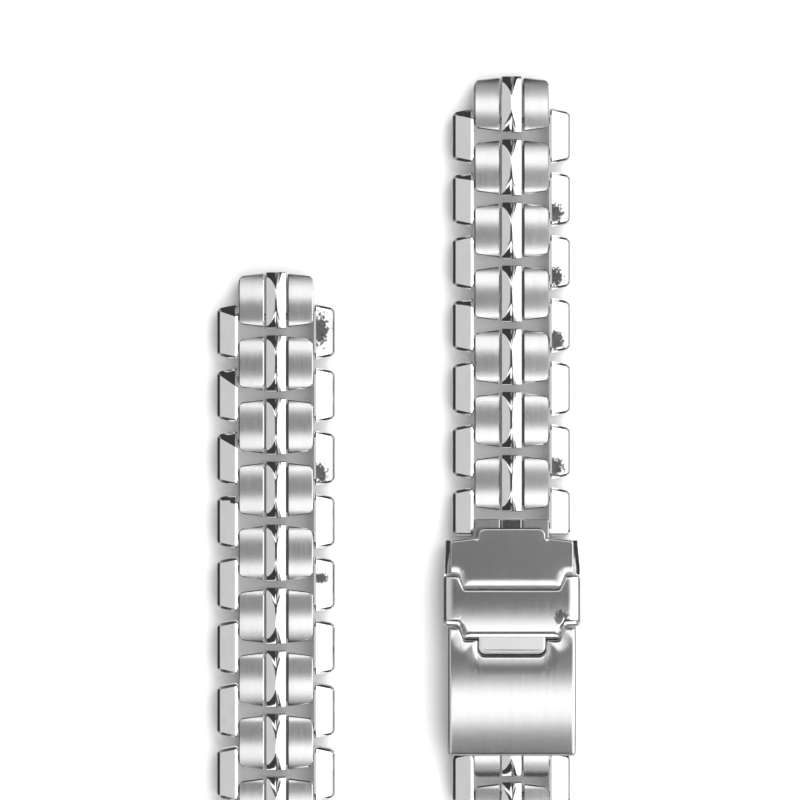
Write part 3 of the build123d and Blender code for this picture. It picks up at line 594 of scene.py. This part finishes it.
# Pairs given a steel with a painted dark reflection carry it on the right link's flat faces.
reflection_pair = pair_mesh("pair_painted_reflection", reflection_steel=MIRROR_PAINTED_REFLECTION)
reflection_high_pair = pair_mesh("pair_painted_reflection_high", reflection_steel=MIRROR_PAINTED_REFLECTION_HIGH)
wedge_pair = pair_mesh("pair_wedge", wedge=3.2)
first_pair = pair_mesh("pair_first", reflection_steel=MIRROR_PAINTED_REFLECTION_FIRST, wedge=2.1)
top_pair = pair_mesh("pair_top", wedge=1.7)
reflection_top_pair = pair_mesh("pair_painted_reflection_top", reflection_steel=MIRROR_PAINTED_REFLECTION, wedge=1.5)
reflection_wedge_pair = pair_mesh("pair_painted_reflection_wedge", reflection_steel=MIRROR_PAINTED_REFLECTION, wedge=2.8)
open_pair = pair_mesh("pair_open", open_pin=-PIN_OFFSET)
clasp_pair = pair_mesh("pair_clasp", 6.035, -THICK / 2, (4.17, 0), square=True)

# Which mesh stands at each place down a length. A pair that isn't named is a plain one.
CENTRE_ORDER = (1, 0, 2, 0, 1, 2, 0, 1, 2)
PAIRS = {
    "left": {0: first_pair, 1: wedge_pair, 2: reflection_wedge_pair, 3: top_pair, 4: reflection_high_pair,
             LEFT_LINKS - 1: open_pair},
    "right": {0: top_pair, 1: reflection_top_pair, 2: reflection_pair, 3: reflection_top_pair, 5: reflection_pair,
              RIGHT_LINKS - 1: clasp_pair},
}

for side, x, top, count in (("left", LEFT_X, LEFT_TOP, LEFT_LINKS),
                            ("right", RIGHT_X, RIGHT_TOP, RIGHT_LINKS)):
    for i in range(count):
        name = f"{side}_centre_link_{i + 1:02d}"
        mesh = first if i == 0 else standard[CENTRE_ORDER[i]]
        piece(name + "_steel", mesh, x, top - PITCH * i, name, name, slot="brushed")
        name = f"{side}_side_links_{i + 1:02d}"
        mesh = PAIRS[side].get(i, pair)
        y = CLASP_Y if mesh == clasp_pair else top - PITCH * (i + 0.5)
        piece(name + "_steel", mesh, x, y, name, name)
piece("stub_end_link_steel", end_link, RIGHT_X, STUB_END_Y, "stub_end_link", "stub_end_link",
      slot="brushed")
piece("stub_side_links_steel", pair, RIGHT_X, STUB_PAIR_Y, "stub_side_links", "stub_side_links")
piece("stub_centre_link_steel", last, RIGHT_X, STUB_CENTRE_Y, "stub_centre_link",
      "stub_centre_link", slot="brushed")


# ---------------------------------------------------------------- clasp plates
def parabola(points):
    """Height along u through three (u, z) points."""
    us, zs = zip(*points)
    factors = np.polyfit(us, zs, 2)
    return lambda u: np.polyval(factors, u)


def contour_distance(x, u, line):
    """Distance of each (x, u) from a polyline given for x over 0 and mirrored."""
    pts = np.array(line)
    px, pu = np.abs(x), np.asarray(u)
    best = np.full(px.shape, 1e9)
    for (ax, au), (bx, bu) in zip(pts[:-1], pts[1:]):
        dx, du = bx - ax, bu - au
        long = dx * dx + du * du
        if long == 0:
            continue
        t = np.clip(((px - ax) * dx + (pu - au) * du) / long, 0, 1)
        best = np.minimum(best, np.hypot(px - ax - t * dx, pu - au - t * du))
    return best


def within(distance, reach):
    """1 on a line, 0 from this reach on."""
    return np.clip((reach - distance) / reach, 0, 1)


def beyond(x, start, reach):
    """0 up to this distance from the middle, 1 a reach further out."""
    return np.clip((np.abs(x) - start) / reach, 0, 1)


def columns_of(half, contours, extra):
    """Ascending x of a plate's columns: dense at its sides and at the contours' corners."""
    xs = {0.0, *extra, *np.arange(0, half - 0.3, 0.45).round(4)}
    xs.update(half - inset for inset in (0, 0.03, 0.08, 0.15, 0.24, 0.35, 0.45, 0.6, 0.8))
    for line in contours:
        xs.update(round(min(point[0], half), 4) for point in line)
    xs = sorted(xs)
    kept = [xs[0]]
    for x in xs[1:]:
        if x - kept[-1] > 0.012:
            kept.append(x)
    return [-x for x in reversed(kept[1:])] + kept


def row_of(x, upper, lower):
    """The u of a column's points from the upper to the lower contour, dense at its ends."""
    near = (0, 0.03, 0.08, 0.15, 0.24, 0.4, 0.6, 0.85, 1.1, 1.4, 1.8)
    start, end = (float(np.interp(abs(x), *zip(*line))) for line in (upper, lower))
    span = end - start
    inner = np.linspace(near[-1], span - near[-1], 20)[1:-1]
    steps = [*near, *inner, *(span - inset for inset in reversed(near))]
    return [start + max(0.0, min(span, step)) for step in steps]


def plate(half, upper, lower, height, under, skirt, wall, edge=0.22, side_edge=None, margin=None,
          columns=()):
    """Solid between two contours given for x over 0 as (x, u) points.

    height(x, u) is the top. Inside the walls the underside lies at under, at the walls at skirt.
    edge and side_edge are how far the rounding reaches in from the contours and from the sides.
    """
    bm = bmesh.new()

    def add(ring, slot, flip=False):
        bm.faces.new(ring[::-1] if flip else ring).material_index = slot

    xs = columns_of(half, (upper, lower), columns)
    grid_u = np.array([row_of(x, upper, lower) for x in xs])
    grid_x = np.repeat(np.array(xs)[:, None], grid_u.shape[1], axis=1)
    border = np.minimum(contour_distance(grid_x, grid_u, upper),
                        contour_distance(grid_x, grid_u, lower))
    border = np.minimum(border, (half - np.abs(grid_x)) * edge / (side_edge or edge))
    inside = np.clip(edge - border, 0, edge)
    rounding = (edge - np.sqrt(np.maximum(0, edge ** 2 - inside ** 2))) * 0.9
    grid_z = height(grid_x, grid_u) - rounding
    top = [[bm.verts.new((x, -u, z)) for x, u, z in zip(*row)]
           for row in zip(grid_x, grid_u, grid_z)]
    rim = np.zeros(grid_x.shape, bool) if margin is None else margin(grid_x, grid_u)
    for i in range(len(xs) - 1):
        for j in range(grid_u.shape[1] - 1):
            add((top[i][j], top[i + 1][j], top[i + 1][j + 1], top[i][j + 1]), int(rim[i][j]))
    bottom = []
    for x, row in zip(xs, grid_u):
        z = skirt if abs(x) > half - wall - 1e-6 else under
        bottom.append([bm.verts.new((x, -u, z)) for u in row])
    for i, (p, q) in enumerate(zip(bottom, bottom[1:])):
        for k in range(len(p) - 1):
            add((p[k], p[k + 1], q[k + 1], q[k]), 0)
        for k, flip in ((0, False), (-1, True)):
            add((top[i][k], p[k], q[k], top[i + 1][k]), 1, flip)
    for i, flip in ((0, True), (-1, False)):
        column = bottom[i]
        for k in range(len(column) - 1):
            add((top[i][k], top[i][k + 1], column[k + 1], column[k]), 1, flip)
    bmesh.ops.remove_doubles(bm, verts=bm.verts, dist=1e-5)
    return bm


def step_line(out_u, in_u, half):
    """Contour with the S-shaped step, from the middle outwards."""
    return rounded([(0, in_u), (STEP_IN, in_u), (STEP_OUT, out_u), (half, out_u)],
                   (0, 0.7, 0.7, 0), 8)


# Hood: tongue and sloping shoulders above, the step below, and a margin that rolls down to it
hood_front = rounded([(0, 0.3), (TAB_HALF, 0.3), (TAB_HALF + 0.01, 1.75), (HOOD_HALF, 2.3),
                      (HOOD_HALF + 0.005, 4)], (0, 1.1, 0, 0.5, 0), 8)
hood_back = step_line(7.5, 9.6, HOOD_HALF)
hood_arch = parabola(((0.3, 4.36), (4.6, 4.56), (9.6, 4.74)))


def hood_height(x, u):
    margin = within(contour_distance(x, u, hood_back), 1.45)
    return hood_arch(u) - 0.13 * margin ** 1.6


# Catch: a step above and below, a rim along the lower one, and sides that bend down to a chamfer
catch_front = step_line(7.65, 9.75, CATCH_HALF)
catch_back = step_line(15.6, 17.6, CATCH_HALF)
catch_arch = parabola(((7.65, 4.66), (13.4, 4.93), (17.6, 4.82)))


def catch_height(x, u):
    rim = within(contour_distance(x, u, catch_back), 0.95)
    front = within(contour_distance(x, u, catch_front), 0.5)
    side = beyond(x, 8.6, 2.1)
    brink = np.maximum(0, np.abs(x) - CATCH_BRINK)
    return catch_arch(u) - 0.48 * brink - 0.45 * rim - 0.45 * side ** 2 - 0.05 * front ** 2


def catch_rim(x, u):
    return contour_distance(x, u, catch_back) < 0.93


# Cover: a notch round the tab and the step above, rounded corners below
cover_front = rounded([(0, 20.15), (TAB_HALF + 0.15, 20.15), (TAB_HALF + 0.16, 17.75),
                       (STEP_IN, 17.75), (STEP_OUT, 15.75), (COVER_HALF, 15.75)],
                      (0, 1.2, 0, 0.7, 0.7, 0), 8)
cover_back = rounded([(0, 35.8), (COVER_HALF, 35.8), (COVER_HALF + 0.005, 34)], (0, 0.5, 0), 6)
cover_arch = parabola(((15.75, 4.5), (25.0, 4.985), (35.8, 4.3)))


def cover_height(x, u):
    margin = within(contour_distance(x, u, cover_front), 2.2)
    side = beyond(x, 9.3, 0.7)
    brink = np.maximum(0, np.abs(x) - COVER_BRINK)
    return cover_arch(u) - 0.16 * margin ** 1.2 - 0.2 * side ** 2 - 0.38 * brink


def to_piece(name, parts, body, slot="brushed", mats=(BRUSHED_CLASP, POLISHED, DARK_PAINTED_SHADE, INNER_PAINTED_SHADE),
             y=CLASP_Y):
    """The clasp's piece made of these parts, standing for the CAD node of the same name."""
    mesh = finish_mesh(name + "_steel", join(parts), mats, sharp=34)
    piece(name + "_steel", mesh, RIGHT_X, y, body, name, slot=slot)


# The hood with its cheeks, front blocks and the deck under the catch
deck = [block(rect(-HOOD_HALF, HOOD_HALF, DECK_START, DECK_END), 3.1, 3.9, bevel=0.1)]
for cheek, front in zip(mirrored(CHEEK_IN, HOOD_HALF), mirrored(CENTRE_HALF, 9.3)):
    deck.append(block(rect(*cheek, DECK_START, DECK_END), 0, 3.8, bevel=0.1))
    deck.append(block(rect(*front, 2.45, 3.1), 0, 3.4, bevel=0.08))
hood = plate(HOOD_HALF, hood_front, hood_back, hood_height, 3.1, 3.0, 0.7)
to_piece("clasp_hood", [hood, *deck], "clasp_base")

# Lug under the hood's tongue: two flanks, a polished bar between them and a core
# Flanks in the darker inner steel and core in the dark steel: painted shade under the tongue.
lug = [block(rect(x0, x1, -1.0, 2.95), 0.0, 3.1, bevel=0.14, slot=finish)
       for x0, x1, finish in ((-CENTRE_HALF, -BAR_HALF - GROOVE, 3), (-BAR_HALF, BAR_HALF, 1),
                              (BAR_HALF + GROOVE, CENTRE_HALF, 3))]
lug.append(block(rect(-5.6, 5.6, -0.8, 2.95), 0.1, 2.75, bevel=0, slot=2))
lug.append(block(rect(-CENTRE_HALF, CENTRE_HALF, 2.9, 4.5), 0.8, 3.1, bevel=0, slot=2))
to_piece("clasp_end_lug", lug, "clasp_base")

studs = [cylinder(*span, -STUD_U, STUD_Z, 0.6) for span in mirrored(CHEEK_IN, 10.15)]
to_piece("catch_pivot_studs", studs, "clasp_base", "polished", [POLISHED])


def ear_shape(x, y, z):
    """Catch's ear: narrower and further in towards its end at the hood's head."""
    u = -y
    t = min(1.0, max(0.0, (7.9 - u) / 5.6))
    low = 1.0 + 0.5 * max(0.0, (7.0 - u) / 4.7)
    high = 4.2 - 1.3 * t
    inward = math.copysign(0.4 * max(0.0, (6.5 - u) / 4.2), x)
    return Vector((x - inward, y, low + (high - low) * z / 4.2))


def tab_shape(x, y, z):
    """Lift tab: falls gently, with a crease before its rolled end."""
    u = -y
    crease = 0.07 * math.exp(-((u - TAB_CREASE) / 0.13) ** 2) * min(1.0, max(0.0, 4.6 - abs(x)))
    fall = 0.03 * (u - 16.6) + crease + 0.1 * max(0.0, (u - 19.35) / 0.65) ** 2
    return Vector((x, y, z - fall))


# Catch: plate with walls, ears round the studs, a lip and the lift tab
catch_parts = [plate(CATCH_HALF, catch_front, catch_back, catch_height, 4.1, 1.0, 0.8, edge=0.32,
                     side_edge=0.1, margin=catch_rim, columns=(CATCH_BRINK,))]
for span in mirrored(9.9, 10.69):
    catch_parts.append(block(rect(*span, 2.3, 8.2), 0, 4.2, ear_shape,
                             cuts_y=[-u for u in np.arange(2.8, 8, 0.5)], bevel=0.1, slot=1))
catch_parts.append(block(rect(-7.3, 7.3, 15.4, 17.4), 3.5, 4.3, bevel=0.08, slot=1))
tab_outline = rounded([(-TAB_HALF, -TAB_START), (-TAB_HALF, -TAB_END), (TAB_HALF, -TAB_END),
                       (TAB_HALF, -TAB_START)], (0, 1.2, 1.2, 0), 8)
tab_rows = (17, 18, 18.8, 19.1, 19.2, 19.28, 19.36, TAB_CREASE, 19.48, 19.56, 19.64, 19.74)
catch_parts.append(block(tab_outline, 3.8, 4.55, tab_shape, (-4.6, -3.6, 3.6, 4.6),
                         [-u for u in tab_rows], bevel=0.14, slot=4))
to_piece("safety_catch", catch_parts, "safety_catch",
         mats=[SATIN, POLISHED, DARK_PAINTED_SHADE, INNER_PAINTED_SHADE, PEARL])

# Cover: plate with walls and adjuster holes, and the hangers of its hinge
cover = plate(COVER_HALF, cover_front, cover_back, cover_height, 3.75, 0.9, 0.7, edge=0.32,
              side_edge=0.1, columns=(COVER_BRINK,))
hangers = []
# Hangers in the darker inner steel: painted shade under the cover.
for span in mirrored(HANGER_IN, HANGER_OUT):
    hangers.append(cylinder(*span, -HINGE_U, HINGE_Z, HINGE_R, sides=32, slot=3))
    hangers.append(block(rect(*span, 17.95, 19.45), HINGE_Z, 3.9, bevel=0.08, slot=3))
# The adjuster holes' walls take the dark steel: painted shade.
adjusters = [(-12, 12, -(STUB_END_U - ADJUSTER_STEP * k), PIN_Z, ADJUSTER_R) for k in range(3)]
to_piece("clasp_cover", [drill(cover, adjusters), *hangers], "cover")

spring_bar = [cylinder(-9.2, 9.2, 0, PIN_Z, 0.75), cylinder(-10, 10, 0, PIN_Z, 0.4)]
to_piece("adjuster_spring_bar", spring_bar, "cover", "polished", [POLISHED], STUB_END_Y)

# Blades with their knuckles, and the pins that they turn on
# Both blades take the darker inner steel as their main material: painted shade beneath the clasp's
# plates.
lower = [block([(-8.9, -3.0), (-8.9, -15.2), (-8, -15.9), (-7.5, -29.45), (7.5, -29.45),
                (8, -15.9), (8.9, -15.2), (8.9, -3.0)], 0, BLADE_THICK, bevel=0.1)]
for span in mirrored(FOLD_GAP, FOLD_OUTER):
    lower.append(cylinder(*span, -FOLD_U, FOLD_Z, KNUCKLE_R, sides=36))
    lower.append(block(rect(*span, KNUCKLE_START, FOLD_U), 0, BLADE_THICK, bevel=0.05))
to_piece("clasp_lower_blade", lower, "clasp_base", mats=[INNER_PAINTED_SHADE, POLISHED])
fold_pin = [cylinder(-FOLD_OUTER, FOLD_OUTER, -FOLD_U, FOLD_Z, HINGE_PIN_R)]
to_piece("clasp_fold_pin", fold_pin, "clasp_base", "polished", [POLISHED])

middle_blade = [block([(-8, -20.5), (-7.5, -29.4), (7.5, -29.4), (8, -20.5), (6.9, -20.5),
                       (6.9, -HINGE_U), (5.5, -HINGE_U), (5.5, -21.9), (-5.5, -21.9),
                       (-5.5, -HINGE_U), (-6.9, -HINGE_U), (-6.9, -20.5)],
                      MIDDLE_BLADE_Z, MIDDLE_BLADE_Z + BLADE_THICK, bevel=0.08),
                cylinder(-FOLD_INNER, FOLD_INNER, -FOLD_U, FOLD_Z, KNUCKLE_R, sides=36),
                block(rect(-FOLD_INNER, FOLD_INNER, KNUCKLE_START, FOLD_U), MIDDLE_BLADE_Z, 1.85,
                      bevel=0.05)]
middle_blade += [cylinder(*span, -HINGE_U, HINGE_Z, HINGE_R, sides=36)
                 for span in mirrored(FORK_IN, FORK_OUT)]
to_piece("clasp_middle_blade", middle_blade, "middle_blade", mats=[INNER_PAINTED_SHADE, POLISHED])
hinge_pins = [cylinder(*span, -HINGE_U, HINGE_Z, HINGE_PIN_R)
              for span in mirrored(FORK_IN, HANGER_OUT)]
to_piece("cover_hinge_pins", hinge_pins, "middle_blade", "polished", [POLISHED])


# ---------------------------------------------------------------- floor, lights, camera
def plain(name, value):
    """Plain grey material and its shader."""
    mat = bpy.data.materials.new(name)
    mat.use_nodes = True
    shader = mat.node_tree.nodes["Principled BSDF"]
    shader.inputs["Base Color"].default_value = (value, value, value, 1)
    return mat, shader


def staged(name, bm, mat):
    """Object of this bmesh that belongs to the studio."""
    mesh = bpy.data.meshes.new(name)
    bm.to_mesh(mesh)
    bm.free()
    mesh.materials.append(mat)
    made = bpy.data.objects.new(name, mesh)
    bpy.context.collection.objects.link(made)
    return made


def floor():
    """White floor that isn't seen in the steel, so that steep sides stand out from it."""
    bm = bmesh.new()
    bmesh.ops.create_grid(bm, x_segments=8, y_segments=8, size=4)
    mat, shader = plain("floor_white", 0.93)
    shader.inputs["Roughness"].default_value = 0.9
    shader.inputs["Specular IOR Level"].default_value = 0.1
    made = staged("floor", bm, mat)
    made.location.z = -0.00002
    made.visible_glossy = False


def boom(outline):
    """Dark boom of the camera stand, seen only in reflections."""
    bm = bmesh.new()
    bm.faces.new([bm.verts.new((x + VIEW.x, y + VIEW.y, ROOF - 0.03)) for x, y in outline])
    made = staged("boom", bm, plain("boom", 0.05)[0])
    made.visible_camera = False
    made.visible_diffuse = False
    made.visible_shadow = False


def panel(name, centre, size, radiance, aim=(0, 0, 0), glossy=True):
    """Soft light panel. radiance is its brightness as seen in a mirror."""
    data = bpy.data.lights.new(name, "AREA")
    data.shape = "RECTANGLE"
    data.size, data.size_y = size
    data.energy = radiance * size[0] * size[1] * math.pi
    made = bpy.data.objects.new(name, data)
    bpy.context.collection.objects.link(made)
    made.location = centre
    made.rotation_mode = "QUATERNION"
    made.rotation_quaternion = (Vector(centre) - Vector(aim)).to_track_quat("Z", "Y")
    made.visible_camera = False
    made.visible_glossy = glossy
    return made


def softbox(name, x, y, size, radiance):
    """Round softbox that hangs level above the object."""
    made = panel(name, (x + VIEW.x, y + VIEW.y, ROOF), size, radiance * math.pi / 4)
    made.data.shape = "ELLIPSE"
    made.rotation_quaternion = (1, 0, 0, 0)


def sky():
    """Dark surroundings with paler corners low down between the axes, and grey below."""
    world = bpy.data.worlds.new("studio")
    world.use_nodes = True
    tree = world.node_tree
    place = node(tree, "ShaderNodeTexCoord")
    split = node(tree, "ShaderNodeSeparateXYZ")
    tree.links.new(place.outputs["Generated"], split.inputs[0])

    def maths(operation, first, second):
        made = node(tree, "ShaderNodeMath", operation=operation)
        for slot, value in enumerate((first, second)):
            if isinstance(value, float):
                made.inputs[slot].default_value = value
            else:
                tree.links.new(value, made.inputs[slot])
        return made.outputs[0]

    east, north, up = split.outputs
    level = maths("ADD", maths("MULTIPLY", east, east), maths("MULTIPLY", north, north))
    across = maths("ABSOLUTE", maths("MULTIPLY", east, north), 0.0)
    corner = maths("DIVIDE", across, maths("ADD", level, 0.0001))
    pale = maths("MULTIPLY", spread(tree, corner, 0.38, 0.48, 0.0, 1.0),
                 spread(tree, up, 0.60, 0.72, 1.0, 0.0))
    ground = maths("MULTIPLY", spread(tree, up, -0.08, 0.0, 0.42, 0.0),
                   spread(tree, east, -1.0, 1.0, 0.5, 1.5))
    tone = maths("ADD", maths("MULTIPLY", pale, 0.34), maths("ADD", ground, 0.045))
    tree.links.new(grey(tree, tone), tree.nodes["Background"].inputs["Color"])
    bpy.context.scene.world = world


floor()
softbox("softbox_left", -0.38, 0.0, (0.88, 0.84), 0.62)
softbox("softbox_right", 0.54, -0.03, (0.88, 0.90), 1.5)
boom([(-0.20, -0.072), (0.03, -0.078), (0.09, -0.072), (0.15, -0.074), (0.17, -0.055),
      (0.20, -0.050), (0.18, -0.02), (0.21, -0.004), (0.19, 0.010), (0.215, 0.025),
      (0.18, 0.045), (0.17, 0.072), (0.10, 0.070), (0.02, 0.078), (-0.20, 0.072)])
for side in (-1, 1):
    panel(f"strip_{side}", (VIEW.x + 0.02, VIEW.y + side * 0.152, ROOF - 0.01), (0.20, 0.11), 1.1,
          VIEW)
panel("panel_right", (0.70, 0.0, 0.56), (0.8, 0.36), 1.3)
panel("panel_low_right", (0.88, 0.0, 0.26), (0.8, 0.30), 0.5)
panel("panel_low_front", (0.0, -0.70, 0.47), (0.9, 0.28), 1.2)
panel("floor_dome", (0.3, 0.0, 0.9), (2.2, 2.2), 0.26, (0.3, 0.0, 0), glossy=False)
for side in (-1, 1):
    panel(f"floor_{side}", (0.55, side * 0.95, 0.75), (1.1, 1.1), 3.2 + 0.9 * side, glossy=False)
sky()
bpy.context.scene.view_settings.view_transform = "Standard"

camera_data = bpy.data.cameras.new("camera")
camera_data.sensor_width = SENSOR
camera_data.lens = SENSOR * (DISTANCE - LINK_TOP) / FRAME_WIDTH
camera_data.clip_start, camera_data.clip_end = 0.01, 10
camera = bpy.data.objects.new("camera", camera_data)
bpy.context.collection.objects.link(camera)
camera.location = (VIEW.x, VIEW.y, DISTANCE)
bpy.context.scene.camera = camera
